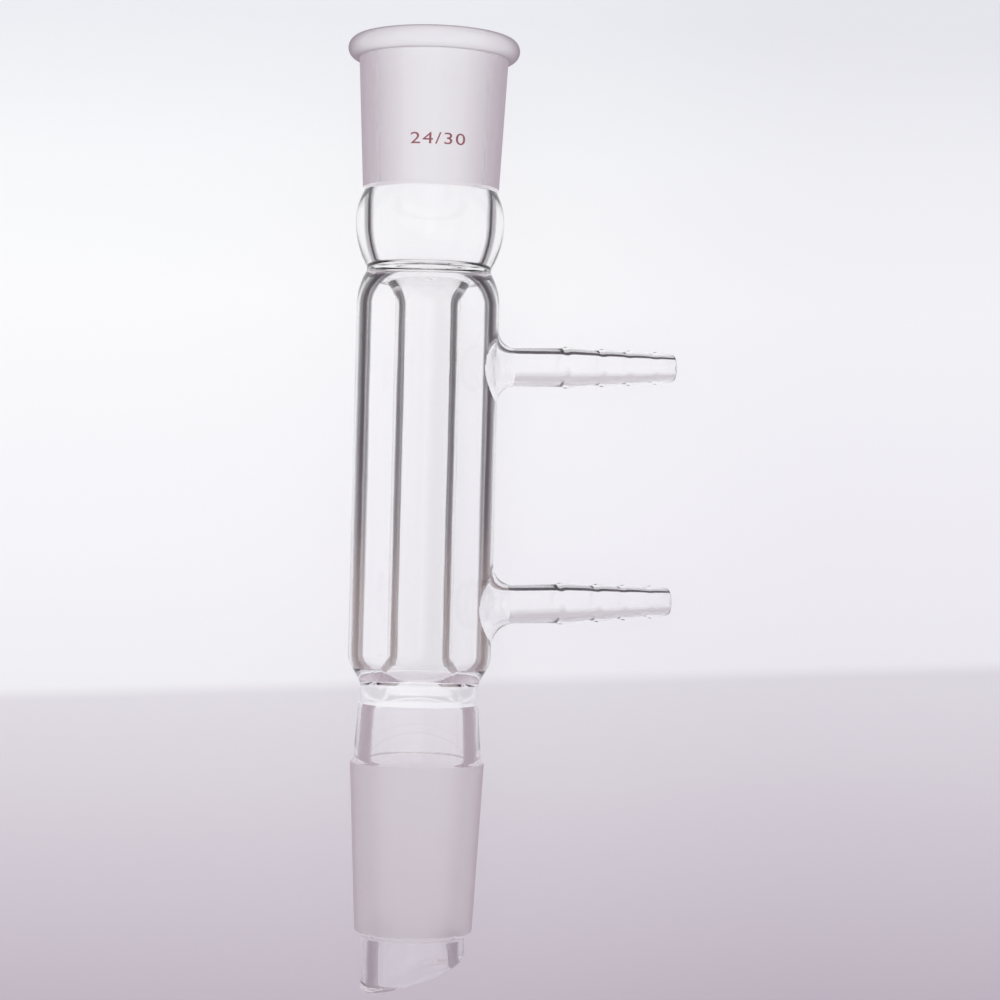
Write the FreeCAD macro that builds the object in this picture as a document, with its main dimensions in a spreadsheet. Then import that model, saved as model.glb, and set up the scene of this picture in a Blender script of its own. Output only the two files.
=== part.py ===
import FreeCAD, Part
import math
import os

import Sketcher
from FreeCAD import Placement, Rotation, Vector

# A straight laboratory condenser: one piece of blown borosilicate glass. A vapour tube runs
# through a water jacket and is fused to it by a ring seal at each end. Above the jacket stand a
# drying bulb and a ground socket with a rolled rim, below it a neck, a ground cone and a drip tip
# cut off at a slant. Two serrated hose connections open into the jacket on one side.
#
# The piece is drawn upright: its axis is Z, its drip tip's point is at zero and the hose
# connections point along X. It is then laid down as it comes to rest on a bench.

# Driving sizes, in millimetres unless the note says otherwise
SIZES = [
    ("joint_diameter", 24.0, "wide end of both ground tapers"),
    ("joint_taper", 10.0, "length in which a ground diameter loses one millimetre"),
    ("flange_radius", 15.4, "rolled rim of the socket"),
    ("flange_thickness", 3.9, "height of the rolled rim"),
    ("socket_length", 23.1, "socket body under the rim"),
    ("socket_wall", 1.55, "glass round the ground bore"),
    ("waist_wall", 1.25, "glass where the socket meets the bulb"),
    ("waist_drop", 0.5, "height of the step under the socket"),
    ("bulb_swell", 1.45, "how far the bulb stands out from the waist"),
    ("bulb_wall", 2.4, "glass at the bulb's widest level"),
    ("bulb_upper_length", 5.5, "waist to the bulb's widest level"),
    ("bulb_lower_length", 8.5, "widest level to the upper ring seal"),
    ("jacket_radius", 12.8, "outside of the water jacket"),
    ("jacket_wall", 1.9, "glass of the water jacket"),
    ("jacket_length", 62.4, "straight part of the jacket"),
    ("upper_seal_depth", 1.9, "groove outside the upper ring seal"),
    ("upper_shoulder", 6.5, "upper ring seal to the straight jacket"),
    ("upper_seal_wall", 1.1, "height of the bulb's floor above the water space"),
    ("lower_seal_depth", 2.35, "groove outside the lower ring seal"),
    ("lower_shoulder", 5.3, "straight jacket to the lower ring seal"),
    ("lower_round", 2.4, "rounded part of the lower shoulder"),
    ("lower_round_drop", 0.68, "how far the rounded part turns in"),
    ("lower_seal_wall", 1.3, "glass between the water and the lower ring seal"),
    ("tube_radius", 5.85, "outside of the vapour tube"),
    ("tube_wall", 1.7, "glass of the vapour tube"),
    ("tube_flare", 2.35, "how far the vapour tube opens at the upper seal"),
    ("tube_flare_length", 5.7, "length of that opening"),
    ("neck_length", 13.4, "lower ring seal to the cone's shoulder"),
    ("neck_flare", 1.0, "how much the neck widens towards the cone"),
    ("neck_wall", 1.9, "glass of the neck at the seal"),
    ("cone_length", 30.0, "ground length of the cone"),
    ("cone_shoulder", 0.5, "bevel above the ground cone"),
    ("cone_wall", 2.4, "glass at the cone's narrow end"),
    ("cone_bevel", 0.9, "bevel under the ground cone"),
    ("tip_radius", 9.2, "outside of the drip tip"),
    ("tip_wall", 2.9, "glass of the drip tip"),
    ("tip_length", 11.0, "drip tip under the ground cone, long side"),
    ("tip_slant", 6.1, "long side less short side"),
    ("hose_level", 8.7, "lower hose connection above the jacket's lower end"),
    ("hose_spacing", 42.9, "between the two hose connections"),
    ("hose_reach", 46.5, "condenser's axis to the hose connection's mouth"),
    ("hose_rise", 1.8, "degrees by which the connections point up"),
    ("hose_radius", 3.5, "plain part of a hose connection"),
    ("hose_mouth_radius", 2.5, "outside of its mouth"),
    ("hose_wall", 0.85, "glass of a hose connection"),
    ("upper_root_fillet", 3.6, "flare where the upper one joins the jacket"),
    ("lower_root_fillet", 4.4, "flare where the lower one joins the jacket"),
    ("throat_fillet", 4.8, "flare of a hose connection's bore into the water space"),
    ("collar_reach", 25.0, "condenser's axis to the first ridge"),
    ("ridge_lead", 6.9, "collar to the first of the small ridges"),
    ("mouth_land", 4.4, "last small ridge to the mouth"),
    ("ridge_height", 0.32, "how far a ridge stands out"),
    ("ridge_back", 0.9, "length of a ridge's steep side"),
    ("seal_fillet", 0.8, "rounding of the grooves at the ring seals"),
    ("rim_fillet", 0.6, "rounding of the socket's mouth and the drip tip"),
    ("mouth_fillet", 0.3, "rounding of the hose connections' mouths"),
]
SMALL_RIDGES = 3
TOUCHING = 0.05


class Length:
    """A length in millimetres, with the sheet's expression that gives it."""

    def __init__(self, number, text):
        self.number = number
        self.text = text

    def joined(self, sign, other, number):
        return Length(number, f"({self.text} {sign} {other.text})")

    def __add__(self, other):
        other = length(other)
        return self.joined("+", other, self.number + other.number)

    def __sub__(self, other):
        other = length(other)
        return self.joined("-", other, self.number - other.number)

    def __mul__(self, other):
        other = length(other)
        return self.joined("*", other, self.number * other.number)

    def __truediv__(self, other):
        other = length(other)
        return self.joined("/", other, self.number / other.number)

    def __neg__(self):
        return length(0) - self


def length(value):
    """A plain number as a Length; a Length as it is."""
    return value if isinstance(value, Length) else Length(float(value), str(value))


def fill_sheet(doc):
    """Write the driving sizes to the sheet and give each of them by name."""
    sheet = doc.addObject("Spreadsheet::Sheet", "Sizes")
    found = {}
    for row, (name, value, note) in enumerate(SIZES, 1):
        sheet.set(f"A{row}", name)
        sheet.set(f"B{row}", str(value))
        sheet.set(f"C{row}", note)
        sheet.setAlias(f"B{row}", name)
        found[name] = Length(value, f"Sizes.{name}")
    doc.recompute()
    return found


def add_sketch(body, name, role):
    """A sketch on one of the body's own origin planes."""
    plane = next(p for p in body.Origin.OriginFeatures if p.Role == role)
    sketch = body.newObject("Sketcher::SketchObject", name)
    sketch.AttachmentSupport = [(plane, "")]
    sketch.MapMode = "FlatFace"
    return sketch


def fix(sketch, kind, item, point, place):
    """Hold one coordinate of a point at a length from the sketch's origin."""
    if place.number == 0:
        axis = -2 if kind == "DistanceX" else -1
        sketch.addConstraint(Sketcher.Constraint("PointOnObject", item, point, axis))
        return
    ahead = place.number > 0
    ends = (-1, 1, item, point) if ahead else (item, point, -1, 1)
    index = sketch.addConstraint(Sketcher.Constraint(kind, *ends, abs(place.number)))
    sketch.setExpression(f"Constraints[{index}]", place.text if ahead else (-place).text)


def arc_between(start, end, level):
    """The arc from start to end whose centre is at the level, and whether it runs backwards."""
    (x0, y0), (x1, y1) = start, end
    reach = x1 * x1 - x0 * x0 + (y1 - level) ** 2 - (y0 - level) ** 2
    centre = Vector(reach / (2 * (x1 - x0)), level, 0)
    turn = math.atan2(y0 - level, x0 - centre.x)
    stop = math.atan2(y1 - level, x1 - centre.x)
    backwards = math.remainder(stop - turn, math.tau) < 0
    first, last = (stop, turn) if backwards else (turn, stop)
    circle = Part.Circle(centre, Vector(0, 0, 1), math.hypot(x0 - centre.x, y0 - level))
    return Part.ArcOfCircle(circle, first, last), backwards


def draw(sketch, corners):
    """A closed outline through the corners, each (across, up) or (across, up, level). A third
    value makes the run to that corner an arc whose centre is at that level."""
    joins = []
    for index, corner in enumerate(corners):
        start = tuple(c.number for c in corners[index - 1][:2])
        end = tuple(c.number for c in corner[:2])
        backwards = False
        if len(corner) == 3:
            shape, backwards = arc_between(start, end, corner[2].number)
        else:
            shape = Part.LineSegment(Vector(*start, 0), Vector(*end, 0))
        item = sketch.addGeometry(shape, False)
        joins.append((item, 2, 1) if backwards else (item, 1, 2))
    for index, (item, first, _) in enumerate(joins):
        before, _, last = joins[index - 1]
        sketch.addConstraint(Sketcher.Constraint("Coincident", before, last, item, first))
    for corner, (item, _, last) in zip(corners, joins):
        fix(sketch, "DistanceX", item, last, corner[0])
        fix(sketch, "DistanceY", item, last, corner[1])
        if len(corner) == 3:
            fix(sketch, "DistanceY", item, 3, corner[2])


def turned(body, kind, name, corners, role="YZ_Plane", axis="V_Axis"):
    """A revolution or groove of a closed outline about the sketch's own axis."""
    sketch = add_sketch(body, f"{name}_outline", role)
    draw(sketch, corners)
    feature = body.newObject(f"PartDesign::{kind}", name)
    feature.Profile = (sketch, [""])
    feature.ReferenceAxis = (sketch, [axis])
    feature.Angle = 360
    return feature


def rounded(body, name, radius, wanted):
    """A fillet on every edge of the body, as it is now, whose middle point is wanted."""
    body.Document.recompute()
    base = body.Tip
    names = []
    for index, edge in enumerate(base.Shape.Edges, 1):
        middle = edge.valueAt((edge.FirstParameter + edge.LastParameter) / 2)
        if wanted(middle, edge):
            names.append(f"Edge{index}")
    feature = body.newObject("PartDesign::Fillet", name)
    feature.Base = (base, names)
    feature.Radius = radius.number
    feature.setExpression("Radius", radius.text)
    return feature


def levels_of(size):
    """Heights of the joins along the axis, from the drip tip's point upwards."""
    level = {"cone_end": size["tip_length"]}
    level["gauge"] = level["cone_end"] + size["cone_length"]
    level["shoulder"] = level["gauge"] + size["cone_shoulder"]
    level["lower_seal"] = level["shoulder"] + size["neck_length"]
    level["jacket_low"] = level["lower_seal"] + size["lower_shoulder"]
    level["jacket_high"] = level["jacket_low"] + size["jacket_length"]
    level["upper_seal"] = level["jacket_high"] + size["upper_shoulder"]
    level["bulb"] = level["upper_seal"] + size["bulb_lower_length"]
    level["waist"] = level["bulb"] + size["bulb_upper_length"]
    level["socket_foot"] = level["waist"] + size["waist_drop"]
    level["flange_under"] = level["socket_foot"] + size["socket_length"]
    level["mouth"] = level["flange_under"] + size["flange_thickness"]
    return level


def radii_of(size, level):
    """Radii that more than one outline uses."""
    wide = size["joint_diameter"] / 2
    slope = length(0.5) / size["joint_taper"]
    radius = {"wide": wide, "cone_narrow": wide - size["cone_length"] * slope}
    radius["bore_at_flange"] = wide - (level["mouth"] - level["flange_under"]) * slope
    radius["bore_at_foot"] = wide - (level["mouth"] - level["socket_foot"]) * slope
    radius["bore_at_waist"] = wide - (level["mouth"] - level["waist"]) * slope
    radius["waist"] = radius["bore_at_waist"] + size["waist_wall"]
    radius["bulb"] = radius["waist"] + size["bulb_swell"]
    radius["upper_seal"] = size["jacket_radius"] - size["upper_seal_depth"]
    radius["lower_seal"] = size["jacket_radius"] - size["lower_seal_depth"]
    radius["water"] = size["jacket_radius"] - size["jacket_wall"]
    radius["bore"] = size["tube_radius"] - size["tube_wall"]
    radius["neck"] = radius["lower_seal"] + size["neck_flare"]
    return radius


def outside(size, level, radius):
    """Outline of the glass from the drip tip to the rolled rim, with nothing hollow yet."""
    edge = size["flange_thickness"] / 2
    rim_middle = level["mouth"] - edge
    turn = level["jacket_low"] - size["lower_round"]
    return [
        (length(0), length(0)),
        (size["tip_radius"], length(0)),
        (size["tip_radius"], level["cone_end"] - size["cone_bevel"]),
        (radius["cone_narrow"], level["cone_end"]),
        (radius["wide"], level["gauge"]),
        (radius["neck"], level["shoulder"]),
        (radius["lower_seal"], level["lower_seal"]),
        (size["jacket_radius"] - size["lower_round_drop"], turn),
        (size["jacket_radius"], level["jacket_low"], level["jacket_low"]),
        (size["jacket_radius"], level["jacket_high"]),
        (radius["upper_seal"], level["upper_seal"], level["jacket_high"]),
        (radius["bulb"], level["bulb"], level["bulb"]),
        (radius["waist"], level["waist"], level["bulb"]),
        (radius["bore_at_foot"] + size["socket_wall"], level["socket_foot"]),
        (radius["bore_at_flange"] + size["socket_wall"], level["flange_under"]),
        (size["flange_radius"] - edge, level["flange_under"]),
        (size["flange_radius"], rim_middle, rim_middle),
        (size["flange_radius"] - edge, level["mouth"], rim_middle),
        (length(0), level["mouth"]),
    ]


def passage(size, level, radius):
    """Outline of the way through: ground socket, bulb, vapour tube, neck, cone and drip tip."""
    slope = length(0.5) / size["joint_taper"]
    tip_bore = size["tip_radius"] - size["tip_wall"]
    cone_bore = radius["cone_narrow"] - size["cone_wall"]
    neck_bore = radius["lower_seal"] - size["neck_wall"]
    bulb_bore = radius["bulb"] - size["bulb_wall"]
    funnel = radius["bore"] + size["tube_flare"]
    flare_top = level["jacket_high"] + size["tube_flare_length"]
    low_turn = level["jacket_low"] - size["lower_round"]
    over = size["flange_thickness"]
    return [
        (length(0), -over),
        (tip_bore, -over),
        (tip_bore, level["cone_end"] - size["cone_bevel"]),
        (cone_bore, level["cone_end"] + size["tip_wall"]),
        (neck_bore + size["neck_flare"] / 2, level["gauge"]),
        (neck_bore, level["lower_seal"] - size["neck_wall"]),
        (radius["bore"] + size["lower_round_drop"], low_turn),
        (radius["bore"], level["jacket_low"], level["jacket_low"]),
        (radius["bore"], level["jacket_high"]),
        (funnel, flare_top, level["jacket_high"]),
        (funnel + size["seal_fillet"], flare_top + size["seal_fillet"]),
        (bulb_bore, level["bulb"], level["bulb"]),
        (radius["bore_at_waist"], level["waist"], level["bulb"]),
        (radius["wide"] + over * slope, level["mouth"] + over),
        (length(0), level["mouth"] + over),
    ]


def water_space(size, level, radius):
    """Outline of the ring-shaped water space between the jacket and the vapour tube."""
    middle = (radius["water"] + size["tube_radius"]) / 2
    crown = level["jacket_high"] + size["tube_flare_length"] - size["upper_seal_wall"]
    foot = level["lower_seal"] + size["lower_seal_wall"]
    turn = level["jacket_low"] - size["lower_round"]
    return [
        (middle, foot),
        (radius["water"] - size["lower_round_drop"], turn),
        (radius["water"], level["jacket_low"], level["jacket_low"]),
        (radius["water"], level["jacket_high"]),
        (middle, crown, level["jacket_high"]),
        (size["tube_radius"], level["jacket_high"], level["jacket_high"]),
        (size["tube_radius"], level["jacket_low"]),
        (size["tube_radius"] + size["lower_round_drop"], turn, level["jacket_low"]),
    ]


def hose_outside(size, radius):
    """Half outline of a hose connection along its own axis: plain tube, collar and ridges."""
    tapered = size["hose_reach"] - size["collar_reach"]
    narrowing = (size["hose_radius"] - size["hose_mouth_radius"]) / tapered
    corners = [
        (radius["water"], length(0)),
        (size["hose_reach"], length(0)),
        (size["hose_reach"], size["hose_mouth_radius"]),
    ]
    first = size["collar_reach"] + size["ridge_lead"]
    pitch = (size["hose_reach"] - size["mouth_land"] - first) / (SMALL_RIDGES - 1)
    feet = [first + pitch * step for step in range(SMALL_RIDGES)]
    for foot in [*reversed(feet), size["collar_reach"]]:
        height = size["hose_radius"] - (foot - size["collar_reach"]) * narrowing
        corners.append((foot + size["ridge_back"], height + size["ridge_height"]))
        corners.append((foot, height))
    corners.append((radius["water"], size["hose_radius"]))
    return corners


def hose_bore(size, radius):
    """Half outline of the bore, from the water space out through the mouth."""
    start = (radius["water"] + size["tube_radius"]) / 2
    past = size["hose_reach"] + size["hose_wall"]
    return [
        (start, length(0)),
        (past, length(0)),
        (past, size["hose_mouth_radius"] - size["hose_wall"]),
        (size["hose_reach"], size["hose_mouth_radius"] - size["hose_wall"]),
        (size["collar_reach"], size["hose_radius"] - size["hose_wall"]),
        (start, size["hose_radius"] - size["hose_wall"]),
    ]


def hose_feature(body, kind, name, corners, size, level):
    """A hose outline turned about its own axis at the lower level, and copied to the upper one."""
    feature = turned(body, kind, name, corners, "XZ_Plane", "H_Axis")
    sketch = feature.Profile[0]
    low, _ = hose_levels(size, level)
    sketch.AttachmentOffset = Placement(
        Vector(0, low.number, 0), Rotation(Vector(0, 0, 1), size["hose_rise"].number)
    )
    sketch.setExpression("AttachmentOffset.Base.y", low.text)
    sketch.setExpression("AttachmentOffset.Rotation.Angle", size["hose_rise"].text)
    both = body.newObject("PartDesign::LinearPattern", f"{name}_pair")
    both.Originals = [feature]
    upwards = next(a for a in body.Origin.OriginFeatures if a.Role == "Z_Axis")
    both.Direction = (upwards, [""])
    both.Occurrences = 2
    both.Length = size["hose_spacing"].number
    both.setExpression("Length", size["hose_spacing"].text)
    body.Tip = both
    return both


def slanted_cut(body, size):
    """Take the drip tip off at a slant, its point on the side away from the hose connections."""
    sketch = add_sketch(body, "slant_outline", "XZ_Plane")
    beyond = size["tip_radius"] * 1.5
    over = size["tip_slant"] / 4
    draw(sketch, [(-beyond, -over), (beyond, -over), (beyond, size["tip_slant"] + over)])
    cut = body.newObject("PartDesign::Pocket", "slant")
    cut.Profile = (sketch, [""])
    cut.SideType = "Symmetric"
    cut.Length = 2 * beyond.number
    cut.setExpression("Length", (beyond * 2).text)
    return cut


def hose_levels(size, level):
    """Heights at which the axes of the lower and the upper hose connection leave the condenser's."""
    low = level["jacket_low"] + size["hose_level"]
    return low, low + size["hose_spacing"]


def round_hose(point, from_axis, hose_level, size):
    """Whether a point at that radius lies where a hose connection at that level goes through."""
    off_surface = abs(math.hypot(point.x, point.y) - from_axis.number)
    beside = abs(point.z - hose_level.number) < 2 * size["hose_radius"].number
    return point.x > 0 and off_surface < TOUCHING and beside


def at_ring(point, radius, height):
    """Whether a point lies on the circle of that radius and height about the axis."""
    off = math.hypot(math.hypot(point.x, point.y) - radius.number, point.z - height.number)
    return off < TOUCHING


def build_condenser(doc, size):
    """The whole piece of glass as one body."""
    level = levels_of(size)
    radius = radii_of(size, level)
    body = doc.addObject("PartDesign::Body", "Condenser")
    body.Label = "condenser"
    turned(body, "Revolution", "glass", outside(size, level, radius))
    hose_feature(body, "Revolution", "hose", hose_outside(size, radius), size, level)
    lower, upper = hose_levels(size, level)
    rounded(
        body,
        "lower_root",
        size["lower_root_fillet"],
        lambda point, edge: round_hose(point, size["jacket_radius"], lower, size),
    )
    rounded(
        body,
        "upper_root",
        size["upper_root_fillet"],
        lambda point, edge: round_hose(point, size["jacket_radius"], upper, size),
    )
    rounded(
        body,
        "seal_grooves",
        size["seal_fillet"],
        lambda point, edge: at_ring(point, radius["upper_seal"], level["upper_seal"])
        or at_ring(point, radius["lower_seal"], level["lower_seal"]),
    )
    turned(body, "Groove", "way_through", passage(size, level, radius))
    slanted_cut(body, size)
    turned(body, "Groove", "water", water_space(size, level, radius))
    hose_feature(body, "Groove", "hose_bore", hose_bore(size, radius), size, level)
    rounded(
        body,
        "hose_throats",
        size["throat_fillet"],
        lambda point, edge: round_hose(point, radius["water"], lower, size)
        or round_hose(point, radius["water"], upper, size),
    )
    tip_bore = size["tip_radius"] - size["tip_wall"]
    rounded(
        body,
        "rims",
        size["rim_fillet"],
        lambda point, edge: at_ring(point, radius["wide"], level["mouth"])
        or point.z < size["tip_slant"].number + TOUCHING
        and math.hypot(point.x, point.y) > tip_bore.number - TOUCHING
        and isinstance(edge.Curve, (Part.Ellipse, Part.BSplineCurve)),
    )
    mouth_bore = size["hose_mouth_radius"] - size["hose_wall"]
    turn = math.radians(size["hose_rise"].number)
    rounded(
        body,
        "hose_mouths",
        size["mouth_fillet"],
        lambda point, edge: isinstance(edge.Curve, Part.Circle)
        and edge.Curve.Center.x > size["hose_reach"].number * math.cos(turn) - TOUCHING
        and edge.Curve.Radius > mouth_bore.number - TOUCHING,
    )
    doc.recompute()
    return body, level, radius


def at_rest(body, size, level, radius):
    """Placement of the condenser lying on a bench: on its rim, on the jacket and on the mouth of
    a hose connection, with the socket's end along +Y and the hose connections towards +X."""
    rim = level["mouth"].number - size["flange_thickness"].number / 2
    stations = [
        (0, size["tip_radius"].number),
        (level["gauge"].number, radius["wide"].number),
        (level["jacket_low"].number, size["jacket_radius"].number),
        (level["jacket_high"].number, size["jacket_radius"].number),
        (level["bulb"].number, radius["bulb"].number),
        (rim, size["flange_radius"].number),
    ]
    heart = body.Shape.Solids[0].CenterOfMass.z

    def supported(pair):
        """Height of the axis over the bench at the centre of mass, resting on that pair."""
        (low, low_radius), (high, high_radius) = pair
        return low_radius + (high_radius - low_radius) * (heart - low) / (high - low)

    pairs = [(a, b) for a in stations for b in stations if a[0] < heart <= b[0]]
    (low, low_radius), (high, high_radius) = max(pairs, key=supported)
    slope = (high_radius - low_radius) / (high - low)
    lean = math.degrees(math.atan(slope))

    rise = math.radians(size["hose_rise"].number)
    rolls = []
    for base in hose_levels(size, level):
        mouth_level = base.number + size["hose_reach"].number * math.sin(rise)
        height = low_radius + slope * (mouth_level - low)
        reach = size["hose_reach"].number * math.cos(rise)
        mouth = size["hose_mouth_radius"].number - size["mouth_fillet"].number * (1 - math.sqrt(0.5))
        rolls.append(math.asin(height / math.hypot(reach, mouth)) - math.atan2(mouth, reach))
    roll = math.degrees(min(rolls))

    turn = Rotation(Vector(1, 0, 0), lean) * Rotation(Vector(0, 1, 0), roll)
    turn = turn * Rotation(Vector(1, 0, 0), -90)
    body.Placement = Placement(Vector(0, 0, 0), turn)
    box = body.Shape.optimalBoundingBox(False)
    body.Placement = Placement(Vector(-box.Center.x, -box.Center.y, -box.ZMin), turn)
    return lean, roll


def check(doc, body):
    """Stop if an object failed or the glass is not one sound solid."""
    for item in doc.Objects:
        if "Invalid" in item.State or "Error" in item.State:
            raise RuntimeError(f"{item.Label} failed: {item.State}")
    shape = body.Shape
    if shape.isNull() or not shape.isValid() or len(shape.Solids) != 1:
        raise RuntimeError(f"{body.Label} is not one valid solid")


def main():
    """Build the condenser, lay it down, check it and write its STEP file."""
    doc = FreeCAD.newDocument("Condenser")
    size = fill_sheet(doc)
    body, level, radius = build_condenser(doc, size)
    check(doc, body)
    lean, roll = at_rest(body, size, level, radius)
    os.makedirs("parts", exist_ok=True)
    body.Shape.exportStep(f"parts/{body.Label}.step")
    box = body.Shape.optimalBoundingBox(False)
    print(f"{body.Label}: {box.XLength:.2f} x {box.YLength:.2f} x {box.ZLength:.2f} mm")
    print(f"volume {body.Shape.Volume:.0f} cubic mm, lean {lean:.2f}, roll {roll:.2f} degrees")


main()
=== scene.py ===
import math

import bmesh
import bpy
from mathutils import Matrix, Vector


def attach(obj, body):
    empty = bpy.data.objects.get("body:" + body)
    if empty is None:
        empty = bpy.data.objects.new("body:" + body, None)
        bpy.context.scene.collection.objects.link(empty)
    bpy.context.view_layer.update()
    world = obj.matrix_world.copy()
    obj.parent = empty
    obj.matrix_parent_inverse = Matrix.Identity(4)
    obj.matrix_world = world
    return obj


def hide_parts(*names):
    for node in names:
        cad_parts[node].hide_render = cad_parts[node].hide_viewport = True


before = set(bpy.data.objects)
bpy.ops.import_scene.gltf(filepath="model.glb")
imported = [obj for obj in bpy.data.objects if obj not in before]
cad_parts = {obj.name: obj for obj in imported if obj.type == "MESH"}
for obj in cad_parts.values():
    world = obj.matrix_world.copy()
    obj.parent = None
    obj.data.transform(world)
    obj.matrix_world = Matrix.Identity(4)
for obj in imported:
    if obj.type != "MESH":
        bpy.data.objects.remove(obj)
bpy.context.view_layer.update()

# The looks of a straight laboratory condenser, lying on a pale bench. The glass is drawn upright
# in millimetres, as at the lathe: its axis is Z, the drip tip's point is at zero and the hose
# connections point along X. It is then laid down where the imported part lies.

MM = 0.001
TURNS = 144
HOSE_TURNS = 48
SMOOTH_UNDER = 38

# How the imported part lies: degrees, then the place of the upright piece's zero in millimetres
LEAN = 1.3696
ROLL = 13.3131
ZERO_AT = (-15.1791, -85.5252, 11.42)

# Levels along the axis
BELOW_TIP = -2.0
TIP_ROOT = 10.1
CONE_END = 11.0
GAUGE = 41.0
SHOULDER = 41.5
NECK_TOP = 51.2
LOWER_SEAL = 54.9
JACKET_TURN = 57.8
JACKET_LOW = 60.2
JACKET_HIGH = 122.6
FUNNEL_TOP = 127.6
UPPER_SEAL = 129.1
BULB = 137.6
WAIST = 143.1
SOCKET_FOOT = 143.6
RIM_UNDER = 166.7
RIM_MIDDLE = 168.65
MOUTH = 170.6

# Radii
WIDE = 12.0
JACKET = 12.8
WATER = 10.9
WATER_MIDDLE = 8.375
TUBE = 5.85
TUBE_BORE = 4.15
TIP = 9.2
TIP_BORE = 6.3
BULB_WIDE = 13.325
SOCKET_LOW = 12.2
SOCKET_HIGH = 13.355
RIM_ROOT = 13.45
RIM = 15.4

# How far the drip tip's cut slants along the axis, and how far its edges are melted round
TIP_SLANT = 6.1
TIP_ROUND = 0.87

# Hose connections, from the condenser's axis outwards, each with its level and its root's flare
HOSES = ((68.9, 4.4), (111.8, 3.6))
HOSE_RISE = 1.8
HOSE = 3.5
HOSE_MOUTH = 2.5
HOSE_WALL = 0.85
HOSE_REACH = 46.5
THROAT = 4.8
COLLAR = 25.0
RIDGES = (31.9, 37.0, 42.1)
RIDGE_HEIGHT = 0.32
RIDGE_BACK = 0.9

# The size mark: its foot's level, the height of its figures, how far it stands to the side, how
# wide it is drawn, how thick it is and how high it lies, and a figure's share of the type's height
MARK_LEVEL = 150.0
MARK_HEIGHT = 2.0
MARK_ASIDE = 1.15
MARK_STRETCH = 1.40
MARK_DEPTH = 0.02
MARK_LIFT = 0.03
FIGURE_SHARE = 0.7

# The kinds of face on the glass, in the order of the finishes
KINDS = (
    "outer",
    "jacket_inside",
    "tube_inside",
    "bulb_inside",
    "neck_inside",
    "seal_inside",
    "throat",
    "hose_inside",
    "hose_under",
    "socket_outside",
    "ground",
    "rim",
)

# The passage's wall from its foot up: the level at which each kind ends
PASSAGE_KINDS = (
    (CONE_END - 1.2, "tube_inside"),
    (CONE_END + 2.0, "outer"),
    (NECK_TOP, "neck_inside"),
    (LOWER_SEAL + 0.4, "seal_inside"),
    (FUNNEL_TOP, "tube_inside"),
    (UPPER_SEAL + 1.0, "outer"),
    (WAIST, "bulb_inside"),
    (MOUTH, "ground"),
)


def arc(start, end, level, steps):
    """Points after start on the arc to end whose centre is at the level."""
    (x0, z0), (x1, z1) = start, end
    reach = x1 * x1 - x0 * x0 + (z1 - level) ** 2 - (z0 - level) ** 2
    centre = reach / (2 * (x1 - x0))
    radius = math.hypot(x0 - centre, z0 - level)
    turn = math.atan2(z0 - level, x0 - centre)
    sweep = math.remainder(math.atan2(z1 - level, x1 - centre) - turn, math.tau)
    turns = [turn + sweep * step / steps for step in range(1, steps + 1)]
    return [(centre + radius * math.cos(t), level + radius * math.sin(t)) for t in turns]


def walk(points, reach):
    """The point that far along a run, and the index of the first point beyond it."""
    for index in range(1, len(points)):
        start, end = Vector(points[index - 1]), Vector(points[index])
        step = (end - start).length
        if step > reach:
            return tuple(start.lerp(end, reach / step)), index
        reach -= step
    raise ValueError("the run is too short for that rounding")


def eased(points, corner, reach, steps=6):
    """A closed run of points with one corner rounded over a reach each way."""
    at = min(range(len(points)), key=lambda i: math.dist(points[i], corner))
    ring = points[at:] + points[:at]
    ahead, first = walk(ring, reach)
    back, last = walk(ring[:1] + ring[:0:-1], reach)
    a, b, c = Vector(back), Vector(ring[0]), Vector(ahead)
    shares = [step / steps for step in range(steps + 1)]
    curve = [tuple(a.lerp(b, s).lerp(b.lerp(c, s), s)) for s in shares]
    return curve + ring[first : len(ring) - last + 1]


def traced(corners, steps=14):
    """Points of an outline, each corner (across, up), (across, up, level of the arc's centre) or
    (across, up, level or None, how far its rounding reaches)."""
    points = []
    for index, corner in enumerate(corners):
        if len(corner) > 2 and corner[2] is not None:
            points += arc(corners[index - 1][:2], corner[:2], corner[2], steps)
        else:
            points.append(corner[:2])
    for corner in corners:
        if len(corner) == 4:
            points = eased(points, corner[:2], corner[3])
    return points


def runs_between(start, end, count):
    """Corners that divide a straight run into equal lengths."""
    shares = [step / count for step in range(1, count)]
    return [tuple(Vector(start).lerp(Vector(end), s)) for s in shares]


def only(piece):
    """Make the piece the one selected and active object."""
    bpy.ops.object.select_all(action="DESELECT")
    piece.select_set(True)
    bpy.context.view_layer.objects.active = piece


def drawn(name, points, closed=True):
    """An outline in the XZ plane: one vertex extruded from point to point."""
    bpy.ops.object.select_all(action="DESELECT")
    bpy.ops.mesh.primitive_plane_add(size=1)
    piece = bpy.context.object
    piece.name = piece.data.name = name
    bpy.ops.object.mode_set(mode="EDIT")
    bpy.ops.mesh.merge(type="CENTER")
    here = Vector((0, 0))
    for index, point in enumerate(points + points[:1] * closed):
        step = Vector(point) - here
        move = (step.x, 0, step.y)
        if index == 0:
            bpy.ops.transform.translate(value=move)
        else:
            bpy.ops.mesh.extrude_region_move(TRANSFORM_OT_translate={"value": move})
        here = Vector(point)
    bpy.ops.object.mode_set(mode="OBJECT")
    return piece


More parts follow.
